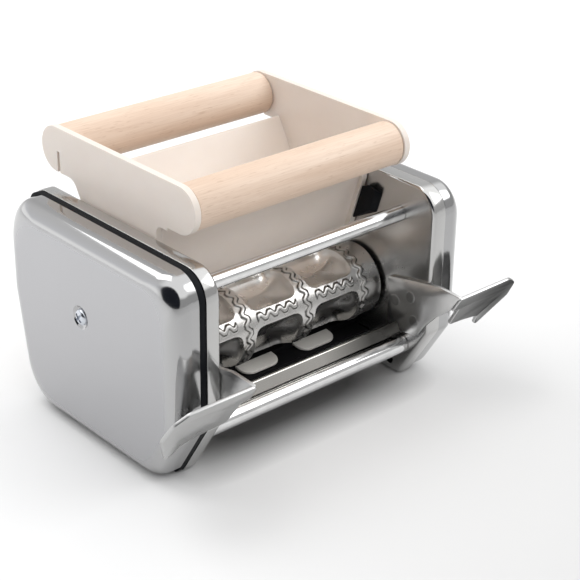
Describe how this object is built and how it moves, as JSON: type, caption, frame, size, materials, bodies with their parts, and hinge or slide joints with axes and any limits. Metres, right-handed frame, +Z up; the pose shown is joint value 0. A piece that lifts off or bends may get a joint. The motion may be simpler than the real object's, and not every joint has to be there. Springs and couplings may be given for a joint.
{
  "type": "ravioli maker",
  "caption": "Ravioli maker with pocketed rollers between covered side frames, a lift-off hopper with wooden dowels, and hook arms; the crank fits a side socket.",
  "frame": {"origin": "middle of the bounding box at the base that the side frames stand on", "axes": "+X along the rollers towards the crank side, +Y to the back, away from the hook arms, +Z up"},
  "size_m": [0.2216, 0.1596, 0.138],
  "materials": {
    "frame_steel": "polished",
    "cover_steel": "satin polished",
    "rod_chrome": "polished",
    "arm_steel": "satin",
    "strip_steel": "polished",
    "plain_steel": "plain",
    "screw_steel": "zinc plated",
    "gear_steel": "machined",
    "roller_aluminium": "cast",
    "bush_bronze": "sintered",
    "black_plastic": "matte",
    "grey_plastic": "matte",
    "cream_plastic": "satin",
    "beech": "plain beech"
  },
  "bodies": {
    "frame": {"left_side_frame": "frame_steel", "right_side_frame": "frame_steel", "gear_case_band": "black_plastic", "left_cover": "cover_steel", "right_cover": "cover_steel", "left_cover_post": "plain_steel", "right_cover_post": "plain_steel", "left_cover_screw": "screw_steel", "right_cover_screw": "screw_steel", "top_front_rod": "rod_chrome", "bottom_front_rod": "rod_chrome", "top_rear_rod": "rod_chrome", "bottom_rear_rod": "rod_chrome", "left_rod_nuts": "plain_steel", "right_rod_nuts": "plain_steel", "roller_bushes": "bush_bronze", "left_front_guide": "black_plastic", "right_front_guide": "black_plastic", "left_rear_guide": "black_plastic", "right_rear_guide": "black_plastic", "left_hook_arm": "arm_steel", "right_hook_arm": "arm_steel", "left_arm_rivets": "plain_steel", "right_arm_rivets": "plain_steel", "front_deflector_strip": "strip_steel", "rear_deflector_strip": "strip_steel", "front_stripper_comb": "grey_plastic", "rear_stripper_comb": "grey_plastic"},
    "front_roller": {"front_roller": "roller_aluminium", "front_roller_shaft": "rod_chrome", "front_roller_gear": "gear_steel"},
    "back_roller": {"back_roller": "roller_aluminium", "back_roller_shaft": "rod_chrome", "back_roller_gear": "gear_steel"},
    "hopper": {"hopper": "cream_plastic"},
    "front_dowel": {"front_dowel": "beech", "front_dowel_pins": "plain_steel"},
    "back_dowel": {"back_dowel": "beech", "back_dowel_pins": "plain_steel"}
  },
  "joints": [
    {"name": "front_roller_spin", "type": "hinge", "parent": "frame", "child": "front_roller", "pos_m": [0, -0.006, 0.0452], "axis": [1, 0, 0], "continuous": true},
    {"name": "back_roller_spin", "type": "hinge", "parent": "frame", "child": "back_roller", "pos_m": [0, 0.034, 0.0452], "axis": [1, 0, 0], "continuous": true},
    {"name": "hopper_lift", "type": "slide", "parent": "frame", "child": "hopper", "axis": [0, 0, 1], "range_m": [0, 0.06]},
    {"name": "front_dowel_spin", "type": "hinge", "parent": "hopper", "child": "front_dowel", "pos_m": [0, -0.0278, 0.1265], "axis": [1, 0, 0], "continuous": true},
    {"name": "back_dowel_spin", "type": "hinge", "parent": "hopper", "child": "back_dowel", "pos_m": [0, 0.0683, 0.1265], "axis": [1, 0, 0], "continuous": true}
  ],
  "couplings": [
    {"joint": "back_roller_spin", "follows": "front_roller_spin", "ratio": -1}
  ]
}
